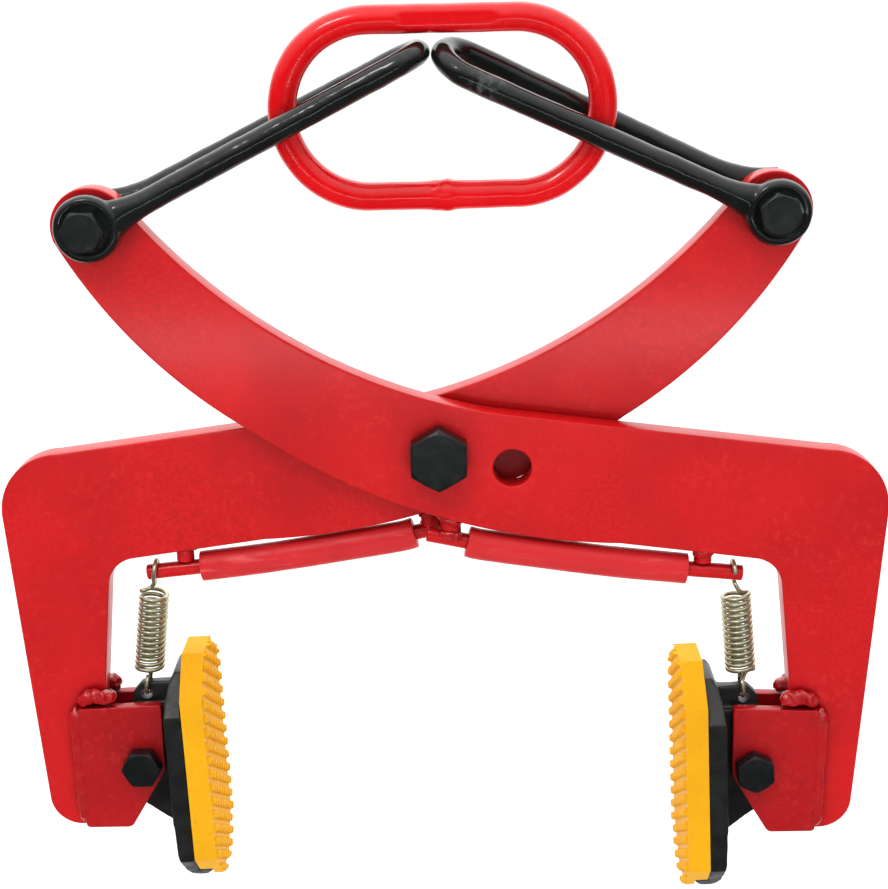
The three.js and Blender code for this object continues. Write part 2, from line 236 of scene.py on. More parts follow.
# ---------------- outlines
def arc(points, mid, end, steps):
    """Adds the arc from the last point through `mid` to `end`."""
    start = Vector(points[-1])
    a = Vector(mid) - start
    b = Vector(end) - start
    d = 2 * (a.x * b.y - a.y * b.x)
    centre = start + Vector((
        (b.y * a.length_squared - a.y * b.length_squared) / d,
        (a.x * b.length_squared - b.x * a.length_squared) / d,
    ))
    radius = (start - centre).length
    angle = [math.atan2(p[1] - centre.y, p[0] - centre.x) for p in (start, end)]
    sweep = (angle[1] - angle[0]) % (2 * math.pi)
    if d < 0:
        sweep -= 2 * math.pi
    for i in range(1, steps + 1):
        t = angle[0] + sweep * i / steps
        points.append((centre.x + radius * math.cos(t), centre.y + radius * math.sin(t)))


def circle(centre, radius, steps=40):
    turn = [2 * math.pi * i / steps for i in range(steps)]
    return [(centre[0] + radius * math.cos(t), centre[1] + radius * math.sin(t)) for t in turn]


SIDE_SHARE = 0.45
MITRE_LIMIT = 0.4
EDGE_STEPS = 4
FACE_MARGIN = 0.5
END_TAPER = 0.3


def rounded(corners, radius, steps=5):
    """A polygon with its corners rounded, over no more than SIDE_SHARE of a side."""
    points = []
    for i, corner in enumerate(corners):
        c = Vector(corner)
        before = Vector(corners[i - 1]) - c
        after = Vector(corners[(i + 1) % len(corners)]) - c
        reach = min(radius, before.length * SIDE_SHARE, after.length * SIDE_SHARE)
        start = c + before.normalized() * reach
        end = c + after.normalized() * reach
        for k in range(steps + 1):
            t = k / steps
            points.append(tuple((1 - t) ** 2 * start + 2 * t * (1 - t) * c + t * t * end))
    return points


def area(points):
    return sum(a[0] * b[1] - b[0] * a[1] for a, b in zip(points, points[1:] + points[:1])) / 2


def inset(points, distance):
    """Every point moved towards the inside of a loop that runs counter-clockwise."""
    p = np.array(points)
    edge = np.roll(p, -1, 0) - p
    edge /= np.linalg.norm(edge, axis=1)[:, None]
    normal = np.stack([-edge[:, 1], edge[:, 0]], 1)
    both = normal + np.roll(normal, 1, 0)
    both /= np.maximum((both * normal).sum(1), MITRE_LIMIT)[:, None]
    return p + both * distance


def plate(name, outline, thickness, holes=(), soft=EDGE_ROUND):
    """An outline in X and Z, centred on y = 0, with rounded edges and round holes."""
    if area(outline) < 0:
        outline = outline[::-1]
    loops = [outline] + [circle(hole[:2], hole[2])[::-1] for hole in holes]
    half = thickness / 2
    profile = [(soft + FACE_MARGIN, -half)]
    for k in range(EDGE_STEPS + 1):
        t = math.pi / 2 * k / EDGE_STEPS
        profile.append((soft * (1 - math.sin(t)), -half + soft * (1 - math.cos(t))))
    profile += [(step, -y) for step, y in reversed(profile)]
    verts = []
    faces = []
    caps = []
    for loop in loops:
        n = len(loop)
        first = len(verts)
        for step, y in profile:
            verts += [(x, y, z) for x, z in inset(loop, step)]
        for r in range(len(profile) - 1):
            for i in range(n):
                j = (i + 1) % n
                a = first + r * n
                faces.append((a + i, a + j, a + n + j, a + n + i))
        caps.append((first, first + (len(profile) - 1) * n, n))
    for end in (0, 1):
        rims = [range(cap[end], cap[end] + cap[2]) for cap in caps]
        ids = [i for rim in rims for i in rim]
        polygons = [[Vector((verts[i][0], verts[i][2], 0)) for i in rim] for rim in rims]
        faces += [tuple(ids[i] for i in tri) for tri in tessellate_polygon(polygons)]
    return build(name, verts, faces)


def prism(outline, low, high, axis="Y"):
    """A plain closed prism for building up castings."""
    n = len(outline)
    if axis == "Y":
        verts = [(x, y, z) for y in (low, high) for x, z in outline]
    else:
        verts = [(x, y, z) for x in (low, high) for y, z in outline]
    faces = [(i, (i + 1) % n, n + (i + 1) % n, n + i) for i in range(n)]
    triangles = tessellate_polygon([[Vector((a, b, 0)) for a, b in outline]])
    faces += [tuple(t) for t in triangles]
    faces += [tuple(n + i for i in t) for t in triangles]
    return build("prism", verts, faces)


def lathe(profile, steps=48, at=(0, 0)):
    """A profile of radius and y, turned about the Y axis through `at`."""
    verts = []
    faces = []
    rings = []
    for radius, y in profile:
        if radius < 1e-6:
            rings.append([len(verts)] * steps)
            verts.append((at[0], y, at[1]))
        else:
            rings.append(list(range(len(verts), len(verts) + steps)))
            verts += [(x, y, z) for x, z in circle(at, radius, steps)]
    for a, b in zip(rings, rings[1:]):
        for i in range(steps):
            j = (i + 1) % steps
            face = list(dict.fromkeys((a[i], a[j], b[j], b[i])))
            if len(face) > 2:
                faces.append(face)
    return verts, faces


def drill(radius, reach, steps=48, at=(0, 0)):
    """A cylinder along Y, to cut a hole with."""
    profile = [(0, -reach), (radius, -reach), (radius, reach), (0, reach)]
    return build("drill", *lathe(profile, steps, at))


def smooth_path(points, steps):
    """A Catmull-Rom curve through the points."""
    p = np.array(points, float)
    p = np.vstack([2 * p[0] - p[1], p, 2 * p[-1] - p[-2]])
    out = []
    for i in range(1, len(p) - 2):
        for t in np.arange(steps) / steps:
            a, b, c, d = p[i - 1 : i + 3]
            out.append(
                0.5 * (2 * b + (c - a) * t + (2 * a - 5 * b + 4 * c - d) * t * t
                       + (3 * b - a - 3 * c + d) * t ** 3)
            )
    out.append(p[-2])
    return np.array(out)


def tube(name, path, radius, sides=24, closed=False, soft=0.0, inner=0.0, normal=(0, 0, 1),
         sharp=PLAIN):
    """A round or oval bar along a path. `radius` is one number, or a pair for each point.

    `soft` rounds the ends of an open bar, and `inner` is the radius of a bore along it.
    """
    path = np.array(path, float)
    n = len(path)
    size = np.ones((n, 2)) * np.array(radius, float)
    ahead = np.roll(path, -1, 0) - path
    behind = path - np.roll(path, 1, 0)
    if not closed:
        ahead[-1] = behind[-1]
        behind[0] = ahead[0]
    direction = ahead / np.linalg.norm(ahead, axis=1)[:, None]
    direction = direction + behind / np.linalg.norm(behind, axis=1)[:, None]
    direction /= np.linalg.norm(direction, axis=1)[:, None]
    up = np.array(normal, float)
    frames = []
    for d in direction:
        up = up - d * (up @ d)
        up /= np.linalg.norm(up)
        frames.append((up, np.cross(d, up)))
    if closed:
        d = direction[0]
        back = up - d * (up @ d)
        twist = math.atan2(back @ frames[0][1], back @ frames[0][0])
    turn = 2 * np.pi * np.arange(sides) / sides
    rings = []
    for i in range(n):
        u, v = frames[i]
        spin = turn - (twist * i / n if closed else 0)
        rings.append((path[i], size[i], u, v, spin))

    def ring(entry, shrink=0.0, along=0.0, bore=None):
        centre, s, u, v, spin = entry
        a, b = (bore, bore) if bore is not None else (s[0] - shrink, s[1] - shrink)
        return centre + along + a * np.cos(spin)[:, None] * u + b * np.sin(spin)[:, None] * v

    layers = [ring(entry) for entry in rings]
    if not closed:
        first, last = direction[0], direction[-1]
        if soft:
            part = soft * END_TAPER
            layers = [
                ring(rings[0], soft),
                ring(rings[0], part, first * soft * END_TAPER),
                ring(rings[0], 0, first * soft),
                *layers[1:-1],
                ring(rings[-1], 0, -last * soft),
                ring(rings[-1], part, -last * soft * END_TAPER),
                ring(rings[-1], soft),
            ]
        if inner:
            layers += [ring(entry, bore=inner) for entry in reversed(rings)]
    verts = np.vstack(layers)
    count = len(layers)
    faces = []
    loops = count if closed or inner else count - 1
    for r in range(loops):
        a, b = r * sides, ((r + 1) % count) * sides
        for i in range(sides):
            j = (i + 1) % sides
            faces.append((a + i, a + j, b + j, b + i))
    if not closed and not inner:
        faces.append(tuple(range(sides)))
        faces.append(tuple((count - 1) * sides + i for i in reversed(range(sides))))
    return build(name, verts, faces, sharp)


NOISE_STEP = (17.3, 5.1, 9.7)


def roughen(obj, size, amount, seed):
    """Moves each point a little along its normal, by smooth noise of that feature size."""
    offset = Vector([seed * step for step in NOISE_STEP])
    mesh = obj.data
    places = [vertex.co.copy() for vertex in mesh.vertices]
    normals = [vertex.normal.copy() for vertex in mesh.vertices]
    moved = [
        place + normal * amount * noise.noise(place / size + offset)
        for place, normal in zip(places, normals)
    ]
    mesh.vertices.foreach_set("co", np.array(moved, np.float32).ravel())
    mesh.update()


# ---------------- materials
# How far a rounded normal has turned from the true one, as a cosine, and how much of the
# sky a point sees, where the edge mask and the painted crevice shade begin and where they are full.
FLAT_FACE, FULL_EDGE = 0.96, 0.75
OPEN, CLOSED = 0.75, 0.1


class Shader:
    """A principled material and the few node patterns that all of them share.

    Patterns lie in object space, in metres. Bump depths and reaches are in millimetres.
    """

    def __init__(self, name, colour, roughness, metallic=0.0, specular=0.5):
        self.material = bpy.data.materials.new(name)
        self.material.use_nodes = True
        self.tree = self.material.node_tree
        self.shader = self.tree.nodes["Principled BSDF"]
        self.set("Roughness", roughness)
        self.set("Metallic", metallic)
        self.set("Specular IOR Level", specular)
        self.place = self.add("TexCoord").outputs["Object"]
        source = self.add("RGB").outputs[0]
        source.default_value = (*colour, 1)
        self.colour = source
        self.height = None

    def set(self, socket, value):
        self.shader.inputs[socket].default_value = value

    def add(self, kind, links=None, values=None, **settings):
        """A node with these settings, links into its inputs, and values on its inputs."""
        node = self.tree.nodes.new(f"ShaderNode{kind}")
        for setting, value in settings.items():
            setattr(node, setting, value)
        for socket, source in (links or {}).items():
            self.tree.links.new(source, node.inputs[socket])
        for socket, value in (values or {}).items():
            node.inputs[socket].default_value = value
        return node

    def noise(self, scale, detail=3.0, stretch=None):
        """Smooth noise with about `scale` features to the metre."""
        place = self.place
        if stretch:
            place = self.add("Mapping", {"Vector": place}, {"Scale": stretch}).outputs["Vector"]
        values = {"Scale": scale, "Detail": detail}
        return self.add("TexNoise", {"Vector": place}, values).outputs["Fac"]

    def spread(self, value, low, high, to_low=0.0, to_high=1.0):
        values = {"From Min": low, "From Max": high, "To Min": to_low, "To Max": to_high}
        return self.add("MapRange", {"Value": value}, values).outputs["Result"]

    def patches(self, scale, detail, low, high, to_low=0.0, to_high=1.0, stretch=None):
        """Noise made into patches: `to_low` where it is below `low`, `to_high` above `high`."""
        return self.spread(self.noise(scale, detail, stretch), low, high, to_low, to_high)

    def times(self, a, b):
        return self.add("Math", {0: a, 1: b}, operation="MULTIPLY").outputs[0]

    def edges(self, radius):
        """1 along edges and corners, 0 on flat faces."""
        bevel = self.add("Bevel", None, {"Radius": radius * MM}, samples=6)
        shape = self.add("NewGeometry")
        both = {0: bevel.outputs["Normal"], 1: shape.outputs["Normal"]}
        dot = self.add("VectorMath", both, operation="DOT_PRODUCT")
        return self.spread(dot.outputs["Value"], FLAT_FACE, FULL_EDGE)

    def painted_crevice_shade(self, reach):
        """Painted shade: 1 deep between close surfaces, 0 in the open, to darken the colour there.
        """
        node = self.add("AmbientOcclusion", None, {"Distance": reach * MM}, samples=4)
        return self.spread(node.outputs["AO"], OPEN, CLOSED)

    def near(self, point, inside, outside):
        """1 closer to the point than `inside`, 0 further than `outside`."""
        node = self.add("VectorMath", {0: self.place}, {1: point}, operation="DISTANCE")
        return self.spread(node.outputs["Value"], inside * MM, outside * MM, 1, 0)

    def tint(self, mask, colour):
        links = {"Factor": mask, "A": self.colour}
        node = self.add("Mix", links, {"B": (*colour, 1)}, data_type="RGBA")
        self.colour = node.outputs["Result"]

    def bump(self, value, depth):
        links = {"Height": value}
        if self.height is not None:
            links["Normal"] = self.height
        self.height = self.add("Bump", links, {"Distance": depth * MM}).outputs["Normal"]

    def gloss(self, value):
        self.tree.links.new(value, self.shader.inputs["Roughness"])

    def done(self):
        self.tree.links.new(self.colour, self.shader.inputs["Base Color"])
        if self.height is not None:
            self.tree.links.new(self.height, self.shader.inputs["Normal"])
        return self.material


def red_enamel(name, colour, dark, light, peel=0.08, rough=(0.3, 0.44), specular=0.12):
    """Gloss enamel: mottled, with paler flecks, darker edges, painted shade where surfaces close
    in, and orange peel.
    """
    s = Shader(name, colour, rough[0], specular=specular)
    s.tint(s.patches(14, 4, 0.4, 0.7), dark)
    s.tint(s.times(s.patches(420, 3, 0.4, 0.7), s.patches(9, 3, 0.3, 0.6)), dark)
    s.tint(s.times(s.patches(240, 5, 0.52, 0.8), s.patches(22, 3, 0.35, 0.7)), light)
    s.tint(s.times(s.edges(1.2), s.patches(120, 3, 0.3, 0.75)), dark)
    # Painted shade: the red darkens where near surfaces hide the sky.
    s.tint(s.painted_crevice_shade(22), tuple(0.35 * c for c in dark))
    s.gloss(s.patches(60, 4, 0.3, 0.7, *rough))
    s.bump(s.noise(330, 2), peel)
    s.bump(s.noise(75, 3), peel * 1.6)
    s.bump(s.noise(1500, 2), peel * 0.25)
    s.set("Coat Weight", 0.34)
    s.set("Coat Roughness", 0.14)
    return s.done()


def black_enamel(name, wear=None):
    """Glossy black over a forging, thin along edges, and worn to grey round the point `wear`."""
    s = Shader(name, (0.0055, 0.007, 0.0062), 0.09, specular=0.45)
    s.tint(s.patches(30, 4, 0.45, 0.8), (0.0121, 0.0154, 0.01364))
    s.tint(s.times(s.edges(0.9), s.patches(160, 4, 0.5, 0.72)), (0.075, 0.08, 0.08))
    if wear:
        s.tint(s.times(s.near(wear, 3, 15), s.patches(220, 5, 0.42, 0.68)), (0.13, 0.135, 0.135))
    s.gloss(s.patches(90, 4, 0.3, 0.75, 0.09, 0.2))
    s.bump(s.noise(200, 3), 0.018)
    s.bump(s.noise(900, 3), 0.0063)
    return s.done()


def cast_black():
    """Semi-gloss black over a grainy sand casting, lighter along its edges: rubbed paint, and a
    painted highlight.
    """
    s = Shader("cast black paint", (0.007, 0.008, 0.0075), 0.4, specular=0.45)
    s.tint(s.patches(60, 5, 0.45, 0.8), (0.016, 0.018, 0.017))
    # Lighter along the edges: partly rubbed paint, partly a painted highlight.
    s.tint(s.times(s.edges(1.6), s.patches(200, 4, 0.38, 0.62)), (0.22, 0.22, 0.21))
    s.gloss(s.patches(130, 4, 0.3, 0.75, 0.3, 0.52))
    s.bump(s.noise(420, 5), 0.14)
    s.bump(s.noise(110, 3), 0.12)
    return s.done()


def black_oxide():
    """Blackened steel, brighter along its edges."""
    s = Shader("black steel", (0.005, 0.0065, 0.007), 0.34, specular=0.36)
    s.tint(s.patches(90, 4, 0.45, 0.8), (0.014, 0.016, 0.017))
    s.tint(s.times(s.edges(0.8), s.patches(260, 4, 0.4, 0.68)), (0.10, 0.105, 0.11))
    s.gloss(s.patches(150, 4, 0.3, 0.75, 0.26, 0.5))
    s.bump(s.noise(600, 4), 0.04)
    s.bump(s.noise(180, 2), 0.05)
    return s.done()


def urethane():
    """Cast yellow rubber, scuffed, a little translucent, with painted shade between the studs."""
    s = Shader("yellow urethane", (0.82, 0.40, 0.006), 0.42, specular=0.08)
    s.tint(s.patches(26, 4, 0.42, 0.78), (0.76, 0.35, 0.006))
    s.tint(s.times(s.patches(300, 4, 0.55, 0.75), s.patches(40, 3, 0.4, 0.7)), (0.72, 0.30, 0.02))
    s.tint(s.times(s.edges(1.0), s.patches(180, 3, 0.35, 0.7)), (0.92, 0.50, 0.04))
    # Painted shade: the yellow darkens between the studs, where near surfaces hide the sky.
    s.tint(s.painted_crevice_shade(6), (0.40, 0.16, 0.005))
    s.gloss(s.patches(120, 4, 0.3, 0.75, 0.4, 0.6))
    s.bump(s.noise(520, 4), 0.06)
    s.bump(s.noise(90, 3), 0.14)
    s.set("Subsurface Weight", 0.06)
    s.set("Subsurface Radius", (0.004, 0.002, 0.0006))
    return s.done()


def grip_vinyl():
    """Extruded red sleeve with fine scuffs along its length."""
    along = (0.12, 1, 1)
    s = Shader("red vinyl", (0.61, 0.017, 0.021), 0.42, specular=0.25)
    s.tint(s.patches(35, 4, 0.45, 0.8), (0.52, 0.014, 0.018))
    s.tint(s.times(s.patches(260, 5, 0.55, 0.72, stretch=along), s.patches(30, 3, 0.4, 0.7)),
           (0.82, 0.12, 0.12))
    s.gloss(s.patches(160, 4, 0.3, 0.75, 0.34, 0.52))
    s.bump(s.noise(480, 4), 0.05)
    s.bump(s.noise(420, 3, (0.05, 1, 1)), 0.05)
    return s.done()


def zinc():
    """Yellow zinc plating, its colour a little uneven."""
    s = Shader("yellow zinc", (0.47, 0.46, 0.33), 0.3, metallic=0.85)
    s.tint(s.patches(180, 4, 0.42, 0.75), (0.38, 0.35, 0.20))
    s.tint(s.patches(420, 3, 0.55, 0.78), (0.50, 0.46, 0.36))
    s.gloss(s.patches(300, 4, 0.3, 0.75, 0.22, 0.42))
    s.bump(s.noise(1400, 3), 0.02)
    return s.done()


RED = red_enamel("red enamel", (0.60, 0.0055, 0.008), (0.47, 0.004, 0.006), (0.68, 0.02, 0.02))
# The cheeks get a darker copy of the arms' red enamel: painted shade.
CHEEK_RED_SHADED = red_enamel(
    "red enamel cheek, painted shade", (0.45, 0.0045, 0.007), (0.34, 0.003, 0.005), (0.58, 0.018, 0.018)
)
WELD = red_enamel(
    "red enamel weld", (0.46, 0.006, 0.009), (0.32, 0.004, 0.006), (0.6, 0.025, 0.025),
    peel=0.12, rough=(0.12, 0.26), specular=0.4,
)
GLOSS = red_enamel(
    "red powder coat", (0.74, 0.003, 0.006), (0.60, 0.002, 0.005), (0.82, 0.012, 0.012),
    peel=0.03, rough=(0.1, 0.2), specular=0.3,
)
WORN_BOW = SHACKLE_AT["right"] @ (Vector((200, 19, -6)) * MM)
FORGED = {
    "left": black_enamel("black enamel left"),
    "right": black_enamel("black enamel right", WORN_BOW),
}
CAST = cast_black()
STEEL = black_oxide()
YELLOW = urethane()
VINYL = grip_vinyl()
ZINC = zinc()


# ---------------- arms
HORN_RADIUS = 24.5


def on_horn(x, z):
    """The point of the horn's round end that lies in this direction from the tip bolt."""
    return (TIP.x + HORN_RADIUS * x, TIP.z + HORN_RADIUS * z)


def arm_outline():
    """Horn, bar and leg of one arm, drawn about the pivot."""
    top = on_horn(0.68, 0.73)
    p = [top]
    arc(p, (-107, 84.8), (35, 27.4), 48)  # hollow edge of the horn
    p.append((252, -0.7))
    arc(p, (281.5, -13.5), (292.4, -42), 14)  # shoulder
    p.append((277.3, -250))
    arc(p, (270.5, -265.5), (256, -271.5), 10)  # foot
    p.append((249, -271.5))
    arc(p, (244, -269), (242, -262), 8)
    p.append((224.6, -93))
    arc(p, (219, -80.5), (206, -74.3), 10)  # inner corner of the leg
    p.append((118, -62.4))
    arc(p, (-10, -39), (-122, 19.1), 44)  # belly of the horn
    arc(p, (-187, 72.7), on_horn(-0.96, -0.37), 32)
    arc(p, on_horn(-0.85, 0.53), top, 24)
    return p[:-1]


BEAD = {
    "steps": 14, "flat": 0.82, "ripple": 0.13, "end": 0.25, "soft": 0.35,
    "grain": 3.2, "rough": 0.22,
}
CHEEK_OUTLINE = [(193.5, -178), (252, -180.5), (251.5, -270), (219.5, -270), (193.8, -227)]
CHEEK_CORNER = 3.2
CHEEK_EDGE = 0.8
CHEEK_BEAD = 5.6
SIDE_WELD = [(253, 4.1, -180), (252.8, 4.1, -225), (252.2, 4.1, -267)]
TOP_WELD = [(225.5, 2.4, -176), (233, 3.8, -172.6), (242, 3.6, -172.4), (251, 2.4, -177.5)]
TOP_LUMPS = (4.5, 1.5)

ROD_PATH = [
    (199.5, 0, -87.3), (183, 0, -85.6), (162.5, 0, -83.6), (120, 0, -78.7),
    (80, 0, -73), (30, 0, -65), (17.5, 0, -62), (4, 0, -59), (-9, 0, -56.2),
]
GRIPPED = slice(2, 7)
SLEEVE_PLAY = 0.35
STUB = {"x": 173, "z": (-79, -74, -68.5), "radius": 6, "sides": 24}
STUB_WELD = [(165.5, -3, -71.4), (172.5, -6.2, -71), (180.5, -3, -69.8)]
POST = {"x": 6.7, "z": (-57, -50, -41), "radius": 6.8, "sides": 28}
POST_WELD = {"radius": 6.3, "z": -46.4, "slope": 2.2, "turn": 0.93, "points": 12}
FOOT_WELD = [(-1, -3.8, -55.5), (6.5, -5.8, -55.2), (14, -3.8, -58)]


def bead(name, path, radius, pitch, seed, sides=16):
    """A weld bead: overlapping ripples that wander a little in height and width."""
    line = smooth_path(path, BEAD["steps"])
    run = np.concatenate([[0], np.cumsum(np.linalg.norm(np.diff(line, axis=0), axis=1))])
    ripple = BEAD["ripple"] * np.abs(np.sin(np.pi * run / pitch))
    ends = np.clip(np.minimum(run, run[-1] - run) / radius, 0, 1)
    size = radius * (BEAD["flat"] + ripple) * np.sqrt(BEAD["end"] + (1 - BEAD["end"]) * ends)
    both = np.stack([size, size], 1)
    obj = tube(name, line, both, sides, soft=radius * BEAD["soft"], sharp=BEADED)
    roughen(obj, BEAD["grain"], radius * BEAD["rough"], seed)
    return obj


def off_plate(path, sign):
    """The path with its middle numbers as heights above one face of the arm plate."""
    return [(x, sign * (PLATE / 2 + height), z) for x, height, z in path]


def upright(name, bar):
    """A short round bar along Z."""
    points = [(bar["x"], 0, z) for z in bar["z"]]
    return tube(name, points, bar["radius"], bar["sides"], soft=0.8, normal=(1, 0, 0))


def build_cheeks(side):
    at, body = ARM_AT[side], ARM_BODY[side]
    for face, sign in (("front", -SIDE[side]), ("rear", SIDE[side])):
        name = f"{side}_{face}"
        hole = (JAW.x, JAW.z, BOLT_HOLE)
        outline = rounded(CHEEK_OUTLINE, CHEEK_CORNER)
        cheek = plate(f"cheek_{name}_plate", outline, CHEEK, [hole], CHEEK_EDGE)
        lift = sign * (PLATE / 2 + GAP + CHEEK / 2)
        # The cheek takes the darker, painted-shade copy of the red enamel.
        put(cheek, at @ shift(0, lift, 0), body, CHEEK_RED_SHADED, "red_paint", f"cheek_{name}")
        path = off_plate(SIDE_WELD, sign)
        seam = bead(f"cheek_weld_{name}_bead", path, CHEEK_BEAD, pitch=6, seed=2 + sign)
        put(seam, at, body, WELD, "weld_red", f"cheek_weld_{name}")
        path = off_plate(TOP_WELD, sign)
        top = bead(f"cheek_top_weld_{name}", path, CHEEK_BEAD, pitch=5.6, seed=5 + sign, sides=22)
        roughen(top, *TOP_LUMPS, seed=7)
        put(top, at, body, WELD, "weld_red")


def build_handle(side):
    at, body = ARM_AT[side], ARM_BODY[side]
    rod = tube(f"handle_bar_{side}", smooth_path(ROD_PATH, 6), ROD, soft=0.9)
    put(rod, at, body, RED, "red_paint", f"handle_rod_{side}")
    gripped = smooth_path(ROD_PATH[GRIPPED], 12)
    sleeve = tube(f"grip_sleeve_{side}", gripped, GRIP, sides=40, soft=0.7, inner=ROD + SLEEVE_PLAY)
    roughen(sleeve, size=30, amount=0.22, seed=SIDE[side])
    put(sleeve, at, body, VINYL, "grip_rubber", f"grip_{side}")

    stub = upright(f"handle_stub_{side}_post", STUB)
    put(stub, at, body, RED, "red_paint", f"handle_stub_{side}")
    ring = bead(f"handle_stub_weld_{side}", STUB_WELD, radius=3.2, pitch=3.6, seed=3)
    put(ring, at, body, WELD, "weld_red")
    post = upright(f"handle_post_{side}_bar", POST)
    put(post, at, body, RED, "red_paint", f"handle_post_{side}")
    loop = [
        (
            POST["x"] + POST_WELD["radius"] * math.cos(t),
            POST_WELD["radius"] * math.sin(t),
            POST_WELD["z"] - POST_WELD["slope"] * math.cos(t),
        )
        for t in np.linspace(0, 2 * math.pi * POST_WELD["turn"], POST_WELD["points"])
    ]
    collar = bead(f"handle_post_weld_{side}", loop, radius=3.0, pitch=3.8, seed=8)
    put(collar, at, body, WELD, "weld_red", f"handle_weld_{side}")
    foot = bead(f"handle_post_foot_weld_{side}", FOOT_WELD, radius=3.2, pitch=3.4, seed=9)
    put(foot, at, body, WELD, "weld_red")


def build_arm(side):
    label = {"right": "front", "left": "back"}[side]
    holes = [(0, 0, PIVOT_HOLE), (*SECOND_HOLE, PIVOT_HOLE), (TIP.x, TIP.z, BOLT_HOLE)]
    arm = plate(f"arm_plate_{label}", arm_outline(), PLATE, holes)
    put(arm, ARM_AT[side], ARM_BODY[side], RED, "red_paint", f"arm_{label}")
    build_cheeks(side)
    build_handle(side)


# ---------------- springs
SPRING_HOOK = (194, -86.7)
EAR_HOLE = (-4.6, 47)
COIL = {"radius": 8.8, "wire": 1.5, "turns": 14, "pitch": 3.95, "steps": 12, "shift": 1.5}
LOW_EYE = {"radius": 7.2, "from": -60, "step": 32, "points": 10}
TOP_EYE = {"radius": ROD + COIL["wire"] + 1.1, "from": -100, "step": 34, "points": 9}
COIL_START = (4, 1, -1.8)
COIL_END = (3, -2.5, 2)


def coil_path(span):
    """The wire from the eye in the jaw, up the coil, to the eye round the rod."""
    points = []
    for i in range(LOW_EYE["points"]):
        a = math.radians(LOW_EYE["from"] + LOW_EYE["step"] * i)
        r = LOW_EYE["radius"]
        points.append((0, r * math.cos(a), r - r * math.sin(a)))
    height = COIL["turns"] * COIL["pitch"]
    start = (span - height) / 2 + COIL["shift"]
    points.append((*COIL_START[:2], start + COIL_START[2]))
    count = COIL["turns"] * COIL["steps"]
    for i in range(count + 1):
        a = 2 * math.pi * i / COIL["steps"]
        z = start + height * i / count
        points.append((COIL["radius"] * math.cos(a), COIL["radius"] * math.sin(a), z))
    points.append((*COIL_END[:2], start + height + COIL_END[2]))
    for i in range(TOP_EYE["points"]):
        a = math.radians(TOP_EYE["from"] + TOP_EYE["step"] * i)
        r = TOP_EYE["radius"]
        points.append((0, r * math.cos(a), span + r * math.sin(a)))
    return smooth_path(points, 3)


def build_spring(side):
    tilt = math.radians(PAD_TILT[side])
    bottom = (
        JAW.x + EAR_HOLE[0] * math.cos(tilt) - EAR_HOLE[1] * math.sin(tilt),
        JAW.z + EAR_HOLE[0] * math.sin(tilt) + EAR_HOLE[1] * math.cos(tilt),
    )
    span = math.dist(SPRING_HOOK, bottom)
    lean = math.atan2(bottom[0] - SPRING_HOOK[0], SPRING_HOOK[1] - bottom[1])
    wire = tube(f"coil_{side}", coil_path(span), COIL["wire"], sides=12, soft=0.35, sharp=BEADED)
    at = ARM_AT[side] @ shift(bottom[0], 0, bottom[1]) @ turned(-lean, "Y")
    wire.data.transform(at @ UNIT)
    wire.data.materials.append(ZINC)
    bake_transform(wire)
    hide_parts(f"spring_{side}")


# ---------------- jaws
# Both castings and pads are octagons in Y and Z, drawn about the jaw bolt. The pad faces -X.
PAD_SIDE = 40
PAD_FLAT = 16
PAD_CHAMFER = 24
PAD_TOP = 80
PAD_BOTTOM = -86.7
PAD_SHARP = 50
PAD_EDGE = 1.2
PAD_GRID = 0.75
RIM_INSET = PAD_GRID * 0.8
GRID_INSET = 1.3
SLOPE_INSET = GRID_INSET * 1.4
STUD = {"height": 2.7, "radius": 2.75, "pitch": 10.2, "blend": 0.5}
PAD_THICK = 14.6
BACK = -33
HOLDER_TOP = 67.6
HOLDER_BOTTOM = -87
LIP = {"thick": 8, "reach": 8.6}
LUG = 17
EAR = 9
EAR_BORE = 3.6


def octagon(top, bottom):
    w = PAD_SIDE
    return [
        (-PAD_FLAT, bottom), (PAD_FLAT, bottom), (w, bottom + PAD_CHAMFER), (w, top - PAD_CHAMFER),
        (PAD_FLAT, top), (-PAD_FLAT, top), (-w, top - PAD_CHAMFER), (-w, bottom + PAD_CHAMFER),
    ]


def stud_height(y, z):
    """Height of the studded face: round studs in staggered columns."""
    pitch = STUD["pitch"]
    across = pitch * math.sqrt(3) / 2
    column = np.round(y / across)
    nearest = np.full(np.shape(y), np.inf)
    for step in (-1, 0, 1):
        c = column + step
        offset = np.where(c % 2 == 0, 0, pitch / 2)
        row = np.round((z - offset) / pitch)
        nearest = np.minimum(nearest, np.hypot(y - c * across, z - offset - row * pitch))
    rise = np.clip(STUD["radius"] + STUD["blend"] - nearest, 0, 1)
    return STUD["height"] * rise * rise * (3 - 2 * rise)


def pad_rim():
    """The pad's outline with points no further apart than the grid's."""
    outline = rounded(octagon(PAD_TOP, PAD_BOTTOM), PAD_EDGE)
    rim = []
    for a, b in zip(outline, outline[1:] + outline[:1]):
        count = max(1, round(math.dist(a, b) / PAD_GRID))
        for k in range(count):
            rim.append((a[0] + (b[0] - a[0]) * k / count, a[1] + (b[1] - a[1]) * k / count))
    return rim


def pad_grid():
    """A square grid of points a little inside the pad's outline."""
    ys, zs = np.meshgrid(
        np.arange(-PAD_SIDE, PAD_SIDE, PAD_GRID), np.arange(PAD_BOTTOM, PAD_TOP, PAD_GRID)
    )
    slope = PAD_CHAMFER / (PAD_SIDE - PAD_FLAT)
    in_by = (PAD_SIDE - SLOPE_INSET - np.abs(ys)) * slope
    inside = np.abs(ys) < PAD_SIDE - GRID_INSET
    inside &= (zs < PAD_TOP - GRID_INSET) & (zs > PAD_BOTTOM + GRID_INSET)
    inside &= (zs < PAD_TOP - PAD_CHAMFER + in_by) & (zs > PAD_BOTTOM + PAD_CHAMFER - in_by)
    return np.stack([ys[inside], zs[inside]], 1)


